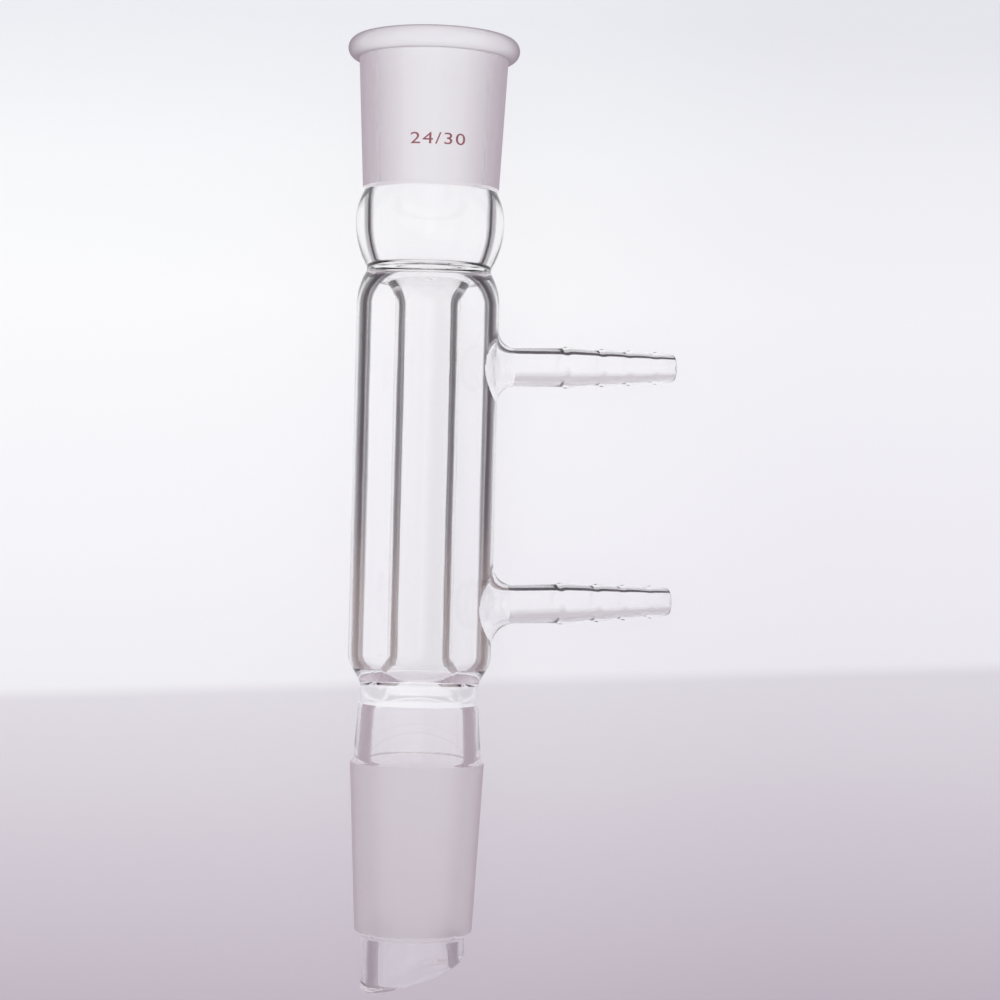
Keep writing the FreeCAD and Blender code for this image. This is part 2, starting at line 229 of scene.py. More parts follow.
def spun(name, points, turns, closed=True):
    """An outline turned about Z to a closed shape, its faces pointing outwards."""
    piece = drawn(name, points, closed)
    bpy.ops.object.mode_set(mode="EDIT")
    bpy.ops.mesh.select_all(action="SELECT")
    bpy.ops.mesh.spin(steps=turns, angle=math.tau, center=(0, 0, 0), axis=(0, 0, 1))
    bpy.ops.mesh.select_all(action="SELECT")
    bpy.ops.mesh.remove_doubles(threshold=0.002)
    bpy.ops.mesh.normals_make_consistent(inside=False)
    bpy.ops.object.mode_set(mode="OBJECT")
    return piece


def wear(piece, finishes, kind_of):
    """Give the piece its materials and each face the one that kind_of its centre and normal says."""
    for finish in finishes:
        piece.data.materials.append(finish)
    for face in piece.data.polygons:
        face.material_index = KINDS.index(kind_of(face.center, face.normal))


def away_from_axis(centre, normal):
    """How much a face looks away from the Z axis, from -1 to 1."""
    across = Vector((centre.x, centre.y, 0))
    return normal.dot(across.normalized()) if across.length > 0.01 else 0.0


def combined(piece, other, operation):
    """Apply a boolean of the other shape to the piece and remove the other."""
    only(piece)
    cut = piece.modifiers.new("cut", "BOOLEAN")
    cut.object = other
    cut.operation = operation
    cut.solver = "EXACT"
    bpy.ops.object.modifier_apply(modifier=cut.name)
    bpy.data.objects.remove(other)


# Outlines

def glass_outline():
    """The glass from the drip tip up the outside to the rim, and down the way through."""
    jacket_runs = runs_between((JACKET, JACKET_LOW), (JACKET, JACKET_HIGH), 26)
    bore_runs = runs_between((TUBE_BORE, JACKET_HIGH), (TUBE_BORE, JACKET_LOW), 12)
    return traced([
        (TIP_BORE, BELOW_TIP),
        (TIP, BELOW_TIP),
        (TIP, TIP_ROOT, None, 0.5),
        (10.5, CONE_END, None, 0.3),
        (WIDE, GAUGE, None, 0.25),
        (11.45, SHOULDER, None, 0.3),
        (10.45, LOWER_SEAL, None, 1.0),
        (12.12, JACKET_TURN),
        (JACKET, JACKET_LOW, JACKET_LOW),
        *jacket_runs,
        (JACKET, JACKET_HIGH),
        (10.9, UPPER_SEAL, JACKET_HIGH, 0.9),
        (BULB_WIDE, BULB, BULB),
        (11.875, WAIST, BULB, 0.35),
        (SOCKET_LOW, SOCKET_FOOT, None, 0.2),
        (SOCKET_HIGH, RIM_UNDER, None, 0.3),
        (RIM_ROOT, RIM_UNDER),
        (RIM, RIM_MIDDLE, RIM_MIDDLE),
        (RIM_ROOT, MOUTH, RIM_MIDDLE),
        (WIDE, MOUTH, None, 0.7),
        (10.625, WAIST),
        (10.925, BULB, BULB),
        (9.3, 130.3, BULB, 0.6),
        (7.6, 128.9, None, 0.6),
        (7.1, FUNNEL_TOP),
        (TUBE_BORE, JACKET_HIGH, JACKET_HIGH),
        *bore_runs,
        (TUBE_BORE, JACKET_LOW),
        (5.0, JACKET_TURN, JACKET_LOW),
        (6.2, 55.4, None, 0.8),
        (8.5, NECK_TOP, None, 1.2),
        (9.05, GAUGE, None, 2.0),
        (8.1, 13.9, None, 2.0),
        (TIP_BORE, TIP_ROOT, None, 1.5),
    ])


def water_outline():
    """The ring-shaped water space between the jacket and the vapour tube."""
    return traced([
        (7.75, 55.8, None, 0.5),
        (9.85, JACKET_TURN, None, 0.6),
        (WATER, JACKET_LOW, JACKET_LOW),
        *runs_between((WATER, JACKET_LOW), (WATER, JACKET_HIGH), 26),
        (WATER, JACKET_HIGH),
        (8.7, 128.0, JACKET_HIGH, 0.7),
        (TUBE, JACKET_HIGH, JACKET_HIGH),
        *runs_between((TUBE, JACKET_HIGH), (TUBE, JACKET_LOW), 12),
        (TUBE, JACKET_LOW),
        (6.6, JACKET_TURN, JACKET_LOW),
    ])


def flare_points(radius, start, reach):
    """A quarter turn that opens from a tube's radius to a wall it stands on, wall end first."""
    turns = [math.pi / 2 * step / 12 for step in range(13)]
    wide = radius + reach
    return [(wide - reach * math.sin(t), start + reach * (1 - math.cos(t))) for t in turns]


def hose_outline(flare):
    """Half of a hose connection, across and along: root in the jacket's glass, flare, ridges."""
    narrowing = (HOSE - HOSE_MOUTH) / (HOSE_REACH - COLLAR)
    root = HOSE + flare
    points = [(0.0, JACKET - 1.0), (root, JACKET - 1.0), *flare_points(HOSE, JACKET, flare)]
    for foot in (COLLAR, *RIDGES):
        height = HOSE - (foot - COLLAR) * narrowing
        for share, along in ((0.0, -0.7), (0.06, -0.2), (0.3, 0.2), (0.75, 0.6), (0.97, 0.9)):
            points.append((height + share * RIDGE_HEIGHT, foot + along))
        points.append((height + RIDGE_HEIGHT, foot + RIDGE_BACK + 0.2))
        points.append((height + 0.85 * RIDGE_HEIGHT, foot + RIDGE_BACK + 0.9))
    end = HOSE_REACH
    points += [
        (HOSE_MOUTH, end - 0.3),
        (HOSE_MOUTH - 0.09, end - 0.09),
        (HOSE_MOUTH - 0.3, end),
        (0.0, end),
    ]
    return points


def hose_bore_outline():
    """Half of the bore of a hose connection, opening softly at the mouth."""
    bore = HOSE - HOSE_WALL
    narrow = HOSE_MOUTH - HOSE_WALL
    return [
        (0.0, WATER_MIDDLE),
        (bore + THROAT, WATER_MIDDLE),
        *flare_points(bore, WATER, THROAT),
        (bore, COLLAR),
        (narrow, HOSE_REACH - 0.3),
        (narrow + 0.09, HOSE_REACH - 0.09),
        (narrow + 0.3, HOSE_REACH),
        (narrow + 0.3, HOSE_REACH + 1.0),
        (0.0, HOSE_REACH + 1.0),
    ]


def set_on_wall(piece, level, radius, flare):
    """Turn an upright hose shape to point along X at a level, its flare fitted to a round wall."""
    rise = math.radians(HOSE_RISE)
    for vertex in piece.data.vertices:
        along, sideways, upwards = vertex.co.z, vertex.co.y, -vertex.co.x
        fit = min(1.0, max(0.0, (radius + flare - along) / flare))
        drop = radius - math.sqrt(radius**2 - sideways**2)
        along += fit * (upwards * math.sin(rise) - drop)
        vertex.co = (
            along * math.cos(rise) - upwards * math.sin(rise),
            sideways,
            level + along * math.sin(rise) + upwards * math.cos(rise),
        )


# Finishes

def node(tree, kind, place, **values):
    """A node at a place in the tree, with its plain settings."""
    made = tree.nodes.new(kind)
    made.location = place
    for name, value in values.items():
        setattr(made, name, value)
    return made


def new_finish(name):
    """An empty material and its tree, with its output node."""
    finish = bpy.data.materials.new(name)
    finish.use_nodes = True
    tree = finish.node_tree
    tree.nodes.clear()
    return finish, tree, node(tree, "ShaderNodeOutputMaterial", (900, 0))


def ramp(tree, place, stops):
    """A colour ramp with stops of (position, colour)."""
    made = node(tree, "ShaderNodeValToRGB", place)
    elements = made.color_ramp.elements
    elements[0].position, elements[0].color = stops[0][0], (*stops[0][1], 1)
    elements[1].position, elements[1].color = stops[-1][0], (*stops[-1][1], 1)
    for position, colour in stops[1:-1]:
        elements.new(position).color = (*colour, 1)
    return made


def tone(red, green, blue):
    """A screen colour as the linear colour that a shader takes."""
    return tuple(
        (c / 255 / 12.92) if c < 10 else ((c / 255 + 0.055) / 1.055) ** 2.4
        for c in (red, green, blue)
    )


def along_y(tree, height, stops, place):
    """Tones along Y from a list of (metres, colour)."""
    low, high = stops[0][0], stops[-1][0]
    span = node(tree, "ShaderNodeMapRange", place)
    span.inputs["From Min"].default_value = low
    span.inputs["From Max"].default_value = high
    tree.links.new(height, span.inputs["Value"])
    tones = ramp(tree, (place[0] + 200, place[1]), [
        ((y - low) / (high - low), colour) for y, colour in stops
    ])
    tree.links.new(span.outputs[0], tones.inputs[0])
    return tones.outputs[0]


def light_through(tree, output, shader, tint):
    """Let the light that reaches the bench pass a shader with a tint, as thin glass lets it."""
    path = node(tree, "ShaderNodeLightPath", (300, 400))
    passing = node(tree, "ShaderNodeMath", (500, 300), operation="MAXIMUM")
    clear = node(tree, "ShaderNodeBsdfTransparent", (500, -250))
    clear.inputs["Color"].default_value = (*tint, 1)
    mix = node(tree, "ShaderNodeMixShader", (700, 0))
    tree.links.new(path.outputs["Is Shadow Ray"], passing.inputs[0])
    tree.links.new(path.outputs["Is Diffuse Ray"], passing.inputs[1])
    tree.links.new(passing.outputs[0], mix.inputs[0])
    tree.links.new(shader, mix.inputs[1])
    tree.links.new(clear.outputs[0], mix.inputs[2])
    tree.links.new(mix.outputs[0], output.inputs["Surface"])


def shared_effect(name, wanted, given):
    """An empty node group with number inputs (name, value) and outputs (name, socket type)."""
    tree = bpy.data.node_groups.new(name, "ShaderNodeTree")
    for socket, value in wanted:
        made = tree.interface.new_socket(socket, in_out="INPUT", socket_type="NodeSocketFloat")
        made.default_value = value
    for socket, kind in given:
        tree.interface.new_socket(socket, in_out="OUTPUT", socket_type=kind)
    return tree, node(tree, "NodeGroupInput", (-1100, 0)), node(tree, "NodeGroupOutput", (600, 0))


def stretched_noise(tree, scale, stretch, place):
    """Noise over the object, stretched along Y, the way the tubes lie."""
    where = node(tree, "ShaderNodeTexCoord", (place[0] - 400, place[1]))
    lay = node(tree, "ShaderNodeMapping", (place[0] - 200, place[1]))
    lay.inputs["Scale"].default_value = (1.0, 1.0 / stretch, 1.0)
    noise = node(tree, "ShaderNodeTexNoise", place)
    noise.inputs["Scale"].default_value = scale
    noise.inputs["Detail"].default_value = 3.0
    tree.links.new(where.outputs["Object"], lay.inputs[0])
    tree.links.new(lay.outputs[0], noise.inputs["Vector"])
    return noise.outputs[0]


def draw_lines():
    """Shared effect: the faint long ripples of drawn tube, and a breath of haze in patches."""
    tree, wanted, given = shared_effect(
        "draw_lines",
        [("Haze", 0.02)],
        [("Height", "NodeSocketFloat"), ("Roughness", "NodeSocketFloat")],
    )
    fine = stretched_noise(tree, 900.0, 40.0, (-400, 300))
    broad = stretched_noise(tree, 130.0, 4.0, (-400, 0))
    both = node(tree, "ShaderNodeMath", (0, 200), operation="MULTIPLY_ADD")
    both.inputs[1].default_value = 0.35
    tree.links.new(fine, both.inputs[0])
    tree.links.new(broad, both.inputs[2])
    tree.links.new(both.outputs[0], given.inputs["Height"])
    patches = stretched_noise(tree, 60.0, 1.5, (-400, -300))
    haze = node(tree, "ShaderNodeMapRange", (0, -200), interpolation_type="SMOOTHSTEP")
    haze.inputs["From Min"].default_value = 0.52
    haze.inputs["From Max"].default_value = 0.75
    tree.links.new(patches, haze.inputs["Value"])
    tree.links.new(wanted.outputs["Haze"], haze.inputs["To Max"])
    tree.links.new(haze.outputs[0], given.inputs["Roughness"])
    return tree


def fine_grain():
    """Shared effect: the even grain of a ground or fired surface, with soft clouds in it."""
    tree, wanted, given = shared_effect(
        "fine_grain",
        [("Clouds", 0.5)],
        [("Tone", "NodeSocketFloat"), ("Height", "NodeSocketFloat")],
    )
    grain = stretched_noise(tree, 5200.0, 1.0, (-400, 300))
    clouds = stretched_noise(tree, 180.0, 0.5, (-400, -100))
    tree.links.new(grain, given.inputs["Height"])
    mix = node(tree, "ShaderNodeMix", (100, 0), data_type="FLOAT")
    tree.links.new(wanted.outputs["Clouds"], mix.inputs[0])
    tree.links.new(grain, mix.inputs[2])
    tree.links.new(clouds, mix.inputs[3])
    tree.links.new(mix.outputs[0], given.inputs["Tone"])
    return tree


def placed(tree, effect, place, **values):
    """A shared effect in a material, with its own values."""
    made = node(tree, "ShaderNodeGroup", place, node_tree=effect)
    for name, value in values.items():
        made.inputs[name].default_value = value
    return made


def bumped(tree, height, shader, strength, depth):
    """Raise a shader's surface by a height of up to that depth in metres."""
    bump = node(tree, "ShaderNodeBump", (-250, -350))
    bump.inputs["Strength"].default_value = strength
    bump.inputs["Distance"].default_value = depth
    tree.links.new(height, bump.inputs["Height"])
    tree.links.new(bump.outputs[0], shader.inputs["Normal"])


# The refractive index of the glass, the tint of clear glass, and the tints of the light that passes
# clear and ground glass to the bench
GLASS_INDEX = 1.474
CLEAR_TINT = (0.995, 0.993, 0.995)
CLEAR_PASSED = (0.985, 0.982, 0.985)
GROUND_PASSED = (0.98, 0.975, 0.98)

# How much painted reflection of the room the inner side of a wall shows from within the glass, by
# how far aslant it is seen.
# Straight on it is clear; about the angle of total reflection it shows the dark of the room, and
# nearly along the wall it mirrors the light ground behind the piece again.
JACKET_PAINTED_REFLECTION = [
    (0.218, 0.0), (0.231, 0.6), (0.241, 0.80), (0.261, 0.60), (0.270, 0.85), (0.278, 1.0),
    (0.308, 1.0), (0.317, 0.88), (0.341, 0.78), (0.354, 0.43), (0.366, 0.0),
]
TUBE_PAINTED_REFLECTION = [
    (0.238, 0.0), (0.250, 0.5), (0.262, 0.80), (0.277, 0.85), (0.294, 0.75), (0.325, 0.85),
    (0.358, 0.95), (0.433, 0.93), (0.473, 0.75), (0.51, 0.25), (0.54, 0.0),
]
BULB_PAINTED_REFLECTION = [
    (0.22, 0.0), (0.24, 0.45), (0.256, 0.85), (0.262, 1.0), (0.272, 0.97), (0.285, 0.6),
    (0.31, 0.5), (0.33, 0.0),
]
NECK_PAINTED_REFLECTION = [(0.212, 0.0), (0.232, 0.8), (0.26, 1.0), (0.37, 0.95), (0.40, 0.6), (0.42, 0.0)]
HOSE_PAINTED_REFLECTION = [(0.215, 0.0), (0.235, 0.9), (0.33, 1.0), (0.36, 0.4), (0.5, 0.3), (0.55, 0.0)]
HOSE_UNDER_PAINTED_REFLECTION = [(0.03, 0.0), (0.08, 0.32), (0.14, 0.62), (0.30, 0.45), (0.45, 0.5), (0.55, 0.0)]
# The seal's amount of painted pale light, and how much painted shade the ground socket shows at its
# edges
SEAL_PAINTED_LIGHT = [(0.0, 0.7), (1.0, 0.9)]
SOCKET_PAINTED_EDGE_SHADE = [(0.0, 0.03), (0.1, 0.12), (0.29, 0.36), (0.56, 0.8), (0.8, 0.95)]

# What those painted reflections show, in tones along Y, in metres. The room: dark at the middle and
# up from there, paler and browner towards the table
PAINTED_ROOM_TONES = [
    (-0.080, (0.40, 0.34, 0.39)),
    (-0.036, (0.46, 0.39, 0.44)),
    (-0.026, (0.30, 0.24, 0.24)),
    (-0.014, (0.24, 0.18, 0.18)),
    (-0.002, (0.10, 0.07, 0.085)),
    (0.012, (0.040, 0.024, 0.040)),
    (0.060, (0.042, 0.028, 0.042)),
]

# The same for the upper and the lower half of the hose connections (painted reflection), the thick
# glass of the seal (painted pale light) and the outside of the ground socket (painted shade at its
# edges)
HOSE_TONES = [(-0.080, (0.045, 0.030, 0.042)), (0.080, (0.042, 0.028, 0.042))]
UNDER_TONES = [(-0.080, (0.46, 0.40, 0.44)), (0.080, (0.46, 0.42, 0.45))]
SEAL_TONES = [(-0.080, (0.93, 0.92, 0.95)), (0.060, (0.98, 0.97, 1.0))]
SOCKET_EDGE_SHADE_TONES = [(-0.080, (0.49, 0.42, 0.47)), (0.080, (0.47, 0.40, 0.45))]

# Ground glass and the rolled rim: the tone of the painted shade at their edges, and how much of it
# shows, by how far aslant it is seen
GROUND_EDGE_SHADE_TONE = (0.53, 0.46, 0.51)
GROUND_EDGE_SHADE = [(0.05, 0.0), (0.4, 0.4), (0.75, 0.95)]
RIM_EDGE_SHADE_TONE = (0.36, 0.30, 0.345)
RIM_EDGE_SHADE = [(0.10, 0.0), (0.45, 0.22), (0.80, 0.95)]


def sideways_only(tree, amount):
    """An amount that fades out where the surface turns to face along Y."""
    where = node(tree, "ShaderNodeTexCoord", (-1400, 900))
    turn = node(tree, "ShaderNodeSeparateXYZ", (-1200, 900))
    along = node(tree, "ShaderNodeMath", (-1000, 900), operation="ABSOLUTE")
    fade = node(tree, "ShaderNodeMapRange", (-800, 900), interpolation_type="SMOOTHSTEP")
    fade.inputs["From Min"].default_value = 0.48
    fade.inputs["From Max"].default_value = 0.74
    fade.inputs["To Min"].default_value = 1.0
    fade.inputs["To Max"].default_value = 0.0
    both = node(tree, "ShaderNodeMath", (50, 350), operation="MULTIPLY")
    tree.links.new(where.outputs["Normal"], turn.inputs[0])
    tree.links.new(turn.outputs["Y"], along.inputs[0])
    tree.links.new(along.outputs[0], fade.inputs["Value"])
    tree.links.new(amount, both.inputs[0])
    tree.links.new(fade.outputs[0], both.inputs[1])
    return both.outputs[0]


def with_painted_reflection(tree, shader, wall, tones, seen):
    """A glass shader mixed with a painted reflection: diffuse tones along Y where the surface is
    seen aslant.
    """
    aslant = node(tree, "ShaderNodeLayerWeight", (-700, 300))
    aslant.inputs["Blend"].default_value = 0.5
    band = ramp(tree, (-500, 300), [(at, (dark,) * 3) for at, dark in wall])
    tree.links.new(aslant.outputs["Facing"], band.inputs[0])
    amount = band.outputs[0]
    if "within" in seen:
        side = node(tree, "ShaderNodeNewGeometry", (-500, 550))
        share = node(tree, "ShaderNodeMath", (-200, 350), operation="MULTIPLY")
        tree.links.new(amount, share.inputs[0])
        tree.links.new(side.outputs["Backfacing"], share.inputs[1])
        amount = share.outputs[0]
    if "left and right" in seen:
        amount = sideways_only(tree, amount)
    # The painted reflection: a diffuse surface in tones along Y, mixed into the glass by the amount
    where = node(tree, "ShaderNodeTexCoord", (-1400, -600))
    parts = node(tree, "ShaderNodeSeparateXYZ", (-1200, -600))
    room = node(tree, "ShaderNodeBsdfDiffuse", (0, -400))
    tree.links.new(where.outputs["Object"], parts.inputs[0])
    colour = along_y(tree, parts.outputs["Y"], tones, (-1000, -600))
    tree.links.new(colour, room.inputs["Color"])
    mix = node(tree, "ShaderNodeMixShader", (300, 100))
    tree.links.new(amount, mix.inputs[0])
    tree.links.new(shader, mix.inputs[1])
    tree.links.new(room.outputs[0], mix.inputs[2])
    return mix.outputs[0]


def clear_finish(name, ripple, wall=None, tones=None, seen="within, left and right"):
    """Blown borosilicate glass. Its wall shows painted reflection and shade in tones where it is
    seen aslant, from within the glass or from both sides, and round the upright tubes only to the
    left and right."""
    finish, tree, output = new_finish(name)
    lines = placed(tree, ripple, (-500, -150), Haze=0.015)
    glass = node(tree, "ShaderNodeBsdfPrincipled", (0, 0))
    glass.inputs["Base Color"].default_value = (*CLEAR_TINT, 1)
    glass.inputs["IOR"].default_value = GLASS_INDEX
    glass.inputs["Transmission Weight"].default_value = 1.0
    tree.links.new(lines.outputs["Roughness"], glass.inputs["Roughness"])
    bumped(tree, lines.outputs["Height"], glass, 0.25, 0.00012)
    shader = glass.outputs[0]
    if wall:
        shader = with_painted_reflection(tree, shader, wall, tones, seen)
    light_through(tree, output, shader, CLEAR_PASSED)
    return finish


def ground_finish(name, grain, edge_shade_tone, edge_shade_amounts):
    """Finely ground glass: milky, matt and faintly mauve, with painted shade in a mauve tone where
    it is seen aslant."""
    finish, tree, output = new_finish(name)
    grains = placed(tree, grain, (-900, -100), Clouds=0.6)
    tones = ramp(tree, (-650, 100), [(0.25, (0.98, 0.955, 0.965)), (0.75, (1.0, 0.985, 0.99))])
    tree.links.new(grains.outputs["Tone"], tones.inputs[0])
    glass = node(tree, "ShaderNodeBsdfPrincipled", (0, 100))
    glass.inputs["Roughness"].default_value = 0.6
    glass.inputs["IOR"].default_value = GLASS_INDEX
    glass.inputs["Transmission Weight"].default_value = 1.0
    tree.links.new(tones.outputs[0], glass.inputs["Base Color"])
    bumped(tree, grains.outputs["Height"], glass, 0.2, 0.00002)
    milk = node(tree, "ShaderNodeBsdfTranslucent", (0, -250))
    tree.links.new(tones.outputs[0], milk.inputs["Color"])
    body = node(tree, "ShaderNodeMixShader", (200, 0))
    body.inputs[0].default_value = 0.45
    # Painted shade: a mauve diffuse surface mixed in towards the edges, by how far aslant they are
    # seen
    edge_shade = node(tree, "ShaderNodeBsdfDiffuse", (0, -500))
    edge_shade.inputs["Color"].default_value = (*edge_shade_tone, 1)
    aslant = node(tree, "ShaderNodeLayerWeight", (-300, 500))
    aslant.inputs["Blend"].default_value = 0.5
    edge = ramp(tree, (-100, 500), [(at, (amount,) * 3) for at, amount in edge_shade_amounts])
    mix = node(tree, "ShaderNodeMixShader", (350, 100))
    tree.links.new(glass.outputs[0], body.inputs[1])
    tree.links.new(milk.outputs[0], body.inputs[2])
    tree.links.new(aslant.outputs["Facing"], edge.inputs[0])
    tree.links.new(edge.outputs[0], mix.inputs[0])
    tree.links.new(body.outputs[0], mix.inputs[1])
    tree.links.new(edge_shade.outputs[0], mix.inputs[2])
    light_through(tree, output, mix.outputs[0], GROUND_PASSED)
    return finish


def enamel_finish(grain):
    """Dark red fired enamel."""
    finish, tree, output = new_finish("size_mark")
    grains = placed(tree, grain, (-500, 0), Clouds=0.3)
    tones = ramp(tree, (-250, 100), [(0.3, (0.20, 0.045, 0.06)), (0.7, (0.34, 0.10, 0.12))])
    paint = node(tree, "ShaderNodeBsdfPrincipled", (200, 0))
    paint.inputs["Roughness"].default_value = 0.35
    tree.links.new(grains.outputs["Tone"], tones.inputs[0])
    tree.links.new(tones.outputs[0], paint.inputs["Base Color"])
    bumped(tree, grains.outputs["Height"], paint, 0.2, 0.00001)
    tree.links.new(paint.outputs[0], output.inputs["Surface"])
    return finish


# The pale ground behind the piece in tones along Y, in metres, with painted shade that darkens it
# towards both ends, and the mauve table in front of it, darker towards the front
GROUND_TONES = [
    (-0.040, tone(237, 236, 240)),
    (-0.010, tone(244, 243, 247)),
    (0.040, tone(250, 250, 252)),
    (0.066, tone(246, 247, 249)),
    (0.092, tone(236, 237, 241)),
]
TABLE_TONES = [
    (-0.110, tone(178, 168, 180)),
    (-0.085, tone(196, 187, 198)),
    (-0.060, tone(211, 204, 213)),
    (-0.030, tone(226, 222, 228)),
]

# Where the table ends, how far that edge rises along X and how soft it is, and how painted shade
# dims the bench towards the right
TABLE_EDGE = -0.0302
TABLE_SLOPE = 0.0494
EDGE_BLUR = 0.0016
DIM_START = -0.02
DIM_END = 0.065
DIM_TONE = (0.930, 0.922, 0.940)


def bench_finish():
    """A pale ground with painted shade towards its ends and its right side, and the mauve table in
    front of it.
    """
    finish, tree, output = new_finish("bench")
    where = node(tree, "ShaderNodeTexCoord", (-1200, 0))
    parts = node(tree, "ShaderNodeSeparateXYZ", (-1000, 0))
    tree.links.new(where.outputs["Object"], parts.inputs[0])
    level = node(tree, "ShaderNodeMath", (-800, -300), operation="MULTIPLY_ADD")
    tree.links.new(parts.outputs["X"], level.inputs[0])
    level.inputs[1].default_value = -TABLE_SLOPE
    tree.links.new(parts.outputs["Y"], level.inputs[2])
    behind = node(tree, "ShaderNodeMapRange", (-600, -300), interpolation_type="SMOOTHSTEP")
    behind.inputs["From Min"].default_value = TABLE_EDGE - EDGE_BLUR
    behind.inputs["From Max"].default_value = TABLE_EDGE + EDGE_BLUR
    tree.links.new(level.outputs[0], behind.inputs["Value"])
    mix = node(tree, "ShaderNodeMix", (0, 0), data_type="RGBA")
    # Painted shade: the bench's colour darkens towards the right
    dim = ramp(tree, (0, 350), [(0.0, (1.0, 1.0, 1.0)), (1.0, DIM_TONE)])
    right = node(tree, "ShaderNodeMapRange", (-200, 350), interpolation_type="SMOOTHSTEP")
    right.inputs["From Min"].default_value = DIM_START
    right.inputs["From Max"].default_value = DIM_END
    shade = node(tree, "ShaderNodeMix", (200, 100), data_type="RGBA", blend_type="MULTIPLY")
    shade.inputs[0].default_value = 1.0
    tree.links.new(parts.outputs["X"], right.inputs["Value"])
    tree.links.new(right.outputs[0], dim.inputs[0])
    tree.links.new(mix.outputs[2], shade.inputs[6])
    tree.links.new(dim.outputs[0], shade.inputs[7])
    tree.links.new(behind.outputs[0], mix.inputs[0])
    tree.links.new(along_y(tree, parts.outputs["Y"], TABLE_TONES, (-600, 300)), mix.inputs[6])
    tree.links.new(along_y(tree, parts.outputs["Y"], GROUND_TONES, (-600, 0)), mix.inputs[7])
    paint = node(tree, "ShaderNodeBsdfPrincipled", (300, 0))
    tree.links.new(shade.outputs[2], paint.inputs["Base Color"])
    paint.inputs["Roughness"].default_value = 0.9
    paint.inputs["Specular IOR Level"].default_value = 0.0
    tree.links.new(paint.outputs[0], output.inputs["Surface"])
    return finish


# Pieces

def make_glass(finishes):
    """The whole glass as one closed shape, upright."""
    def kind_in_passage(centre, normal):
        outwards = away_from_axis(centre, normal)
        if outwards > -0.3:
            if centre.z > RIM_UNDER - 0.1:
                return "rim"
            if CONE_END < centre.z < GAUGE and outwards > 0.9:
                return "ground"
            return "socket_outside" if centre.z > SOCKET_FOOT else "outer"
        return next(kind for top, kind in PASSAGE_KINDS if centre.z < top)

    def kind_in_water(centre, normal):
        return "jacket_inside" if away_from_axis(centre, normal) > 0 else "outer"

    def kind_in_hose(centre, normal):
        if centre.z > WATER + THROAT:
            return "hose_under" if normal.x > 0 else "hose_inside"
        return "outer" if normal.x > 0 else "throat"

    glass = spun("condenser_glass", glass_outline(), TURNS)
    wear(glass, finishes, kind_in_passage)
    slant_tip(glass)

    water = spun("water_space", water_outline(), TURNS)
    wear(water, finishes, kind_in_water)
    for level, flare in HOSES:
        hose = spun("hose_glass", hose_outline(flare), HOSE_TURNS, closed=False)
        wear(hose, finishes, lambda centre, normal: "outer")
        set_on_wall(hose, level, JACKET, flare)
        combined(glass, hose, "UNION")
        bore = spun("hose_bore", hose_bore_outline(), HOSE_TURNS, closed=False)
        wear(bore, finishes, kind_in_hose)
        set_on_wall(bore, level, WATER, THROAT)
        combined(water, bore, "UNION")
    combined(glass, water, "DIFFERENCE")
    return glass


def slant_tip(glass):
    """Cut the drip tip off at a slant and melt its edges round."""
    slope = TIP_SLANT / (2 * TIP)
    only(glass)
    bpy.ops.object.mode_set(mode="EDIT")
    bpy.ops.mesh.select_all(action="SELECT")
    bpy.ops.mesh.bisect(
        plane_co=(0, 0, TIP_SLANT / 2), plane_no=(-slope, 0, 1), clear_inner=True
    )
    bpy.ops.mesh.select_all(action="DESELECT")
    bpy.ops.mesh.select_mode(type="EDGE")
    bpy.ops.mesh.select_non_manifold()
    bpy.ops.mesh.bridge_edge_loops()
    mesh = bmesh.from_edit_mesh(glass.data)
    for edge in mesh.edges:
        ends = [abs(v.co.z - TIP_SLANT / 2 - slope * v.co.x) < 0.01 for v in edge.verts]
        radii = [math.hypot(v.co.x, v.co.y) for v in edge.verts]
        edge.select_set(all(ends) and abs(radii[0] - radii[1]) < 0.5)
    bmesh.update_edit_mesh(glass.data)
    bpy.ops.mesh.bevel(offset=TIP_ROUND, segments=4, affect="EDGES")
    bpy.ops.mesh.select_mode(type="VERT")
    bpy.ops.mesh.select_all(action="SELECT")
    bpy.ops.mesh.normals_make_consistent(inside=False)
    bpy.ops.object.mode_set(mode="OBJECT")


def resting():
    """The turn, place and scale that lay an upright piece, drawn in millimetres, on the bench."""
    turn = Matrix.Rotation(math.radians(LEAN), 4, "X")
    turn = turn @ Matrix.Rotation(math.radians(ROLL), 4, "Y")
    turn = turn @ Matrix.Rotation(math.radians(-90), 4, "X")
    return Matrix.Scale(MM, 4) @ Matrix.Translation(ZERO_AT) @ turn


def laid_down(piece):
    """Lay an upright piece on the bench, its place in its mesh."""
    piece.data.transform(resting())
    piece.data.update()


def make_size_mark(finish):
    """The size of the ground joint in enamel on the socket, facing up from the bench."""
    bpy.ops.object.select_all(action="DESELECT")
    bpy.ops.object.text_add()
    words = bpy.context.object
    words.data.body = "24/30"
    words.data.align_x = "CENTER"
    words.data.size = MARK_HEIGHT / FIGURE_SHARE
    words.data.space_character = 1.12
    words.data.extrude = MARK_DEPTH
    bpy.ops.object.convert(target="MESH")
    mark = bpy.context.object
    mark.name = mark.data.name = "size_mark"
    bpy.ops.object.mode_set(mode="EDIT")
    bpy.ops.mesh.select_all(action="SELECT")
    bpy.ops.mesh.remove_doubles(threshold=0.0005)
    bpy.ops.object.mode_set(mode="OBJECT")
    up = resting().to_3x3().normalized().inverted() @ Vector((0, 0, 1))
    facing = math.atan2(up.y, up.x)
    widening = (SOCKET_HIGH - SOCKET_LOW) / (RIM_UNDER - SOCKET_FOOT)
    for vertex in mark.data.vertices:
        x, y, out = vertex.co
        level = MARK_LEVEL + y
        radius = SOCKET_LOW + (level - SOCKET_FOOT) * widening + MARK_LIFT
        angle = facing + (x * MARK_STRETCH + MARK_ASIDE) / radius
        vertex.co = ((radius + out) * math.cos(angle), (radius + out) * math.sin(angle), level)
    mark.data.materials.clear()
    mark.data.materials.append(finish)
    return mark


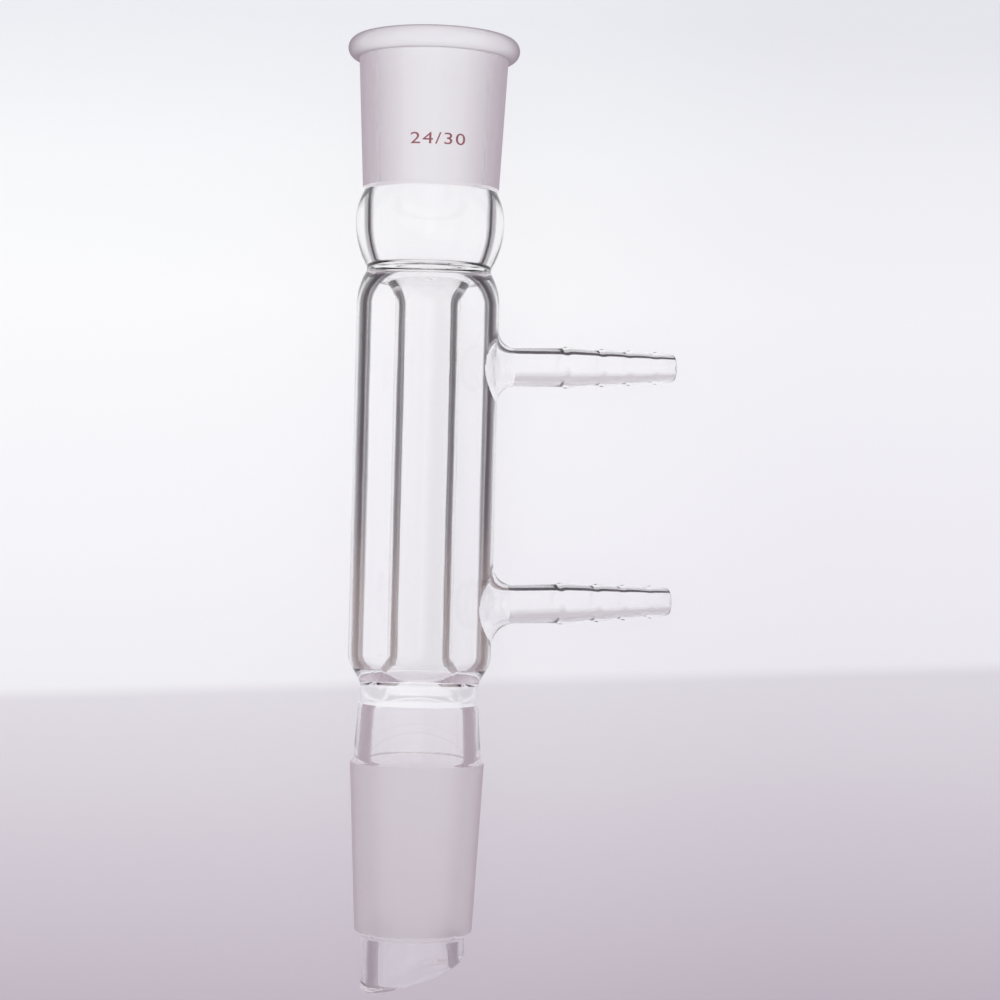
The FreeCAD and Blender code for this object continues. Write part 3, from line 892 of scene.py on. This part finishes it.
ripple = draw_lines()
grain = fine_grain()
finishes = [
    clear_finish("clear_glass", ripple),
    clear_finish("jacket_inside", ripple, JACKET_PAINTED_REFLECTION, PAINTED_ROOM_TONES),
    clear_finish("tube_inside", ripple, TUBE_PAINTED_REFLECTION, PAINTED_ROOM_TONES),
    clear_finish("bulb_inside", ripple, BULB_PAINTED_REFLECTION, PAINTED_ROOM_TONES),
    clear_finish("neck_inside", ripple, NECK_PAINTED_REFLECTION, PAINTED_ROOM_TONES),
    clear_finish("seal_inside", ripple, SEAL_PAINTED_LIGHT, SEAL_TONES, seen="within"),
    clear_finish("throat", ripple, JACKET_PAINTED_REFLECTION, PAINTED_ROOM_TONES, seen="within"),
    clear_finish("hose_inside", ripple, HOSE_PAINTED_REFLECTION, HOSE_TONES, seen="within"),
    clear_finish("hose_under", ripple, HOSE_UNDER_PAINTED_REFLECTION, UNDER_TONES, seen="within"),
    clear_finish("socket_outside", ripple, SOCKET_PAINTED_EDGE_SHADE, SOCKET_EDGE_SHADE_TONES, seen="from both sides"),
    ground_finish("ground_glass", grain, GROUND_EDGE_SHADE_TONE, GROUND_EDGE_SHADE),
    ground_finish("rim_glass", grain, RIM_EDGE_SHADE_TONE, RIM_EDGE_SHADE),
]
glass = make_glass(finishes)
laid_down(glass)
only(glass)
bpy.ops.object.shade_smooth_by_angle(angle=math.radians(SMOOTH_UNDER))
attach(glass, "root")
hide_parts("condenser")

mark = make_size_mark(enamel_finish(grain))
laid_down(mark)
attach(mark, "root")

# Bench, light and camera

bpy.ops.object.select_all(action="DESELECT")
bpy.ops.mesh.primitive_plane_add(size=4)
bench = bpy.context.object
bench.name = bench.data.name = "bench"
bench.data.materials.append(bench_finish())

world = bpy.data.worlds.new("studio")
bpy.context.scene.world = world
world.use_nodes = True
sky = world.node_tree.nodes["Background"]
sky.inputs["Color"].default_value = (0.985, 0.985, 0.99, 1)
sky.inputs["Strength"].default_value = 0.975

lamp_data = bpy.data.lights.new("soft_lamp", "AREA")
lamp_data.shape = "RECTANGLE"
lamp_data.size = 0.6
lamp_data.size_y = 1.2
lamp_data.energy = 0.8
lamp = bpy.data.objects.new("soft_lamp", lamp_data)
bpy.context.scene.collection.objects.link(lamp)
lamp.location = (-0.35, 0.1, 1.05)
aim = Vector((0, 0, 0)) - lamp.location
lamp.rotation_euler = aim.to_track_quat("-Z", "Y").to_euler()

# The camera's place in millimetres, its turns in degrees and its focal length in pixels of the
# 1000-pixel frame
CAMERA_AT = (-11.806, -13.324, 468.553)
CAMERA_TURNS = (2.010, -1.303, 1.398)
FOCUS = 2539.8

camera_data = bpy.data.cameras.new("camera")
camera_data.sensor_width = 36
camera_data.lens = FOCUS / 1000 * 36
camera_data.clip_start = 0.01
camera = bpy.data.objects.new("camera", camera_data)
bpy.context.scene.collection.objects.link(camera)
turns = [Matrix.Rotation(math.radians(t), 4, axis) for t, axis in zip(CAMERA_TURNS, "XYZ")]
camera.matrix_world = (
    Matrix.Translation(Vector(CAMERA_AT) * MM) @ turns[0] @ turns[1] @ turns[2]
)
bpy.context.scene.camera = camera
bpy.context.scene.view_settings.view_transform = "Standard"
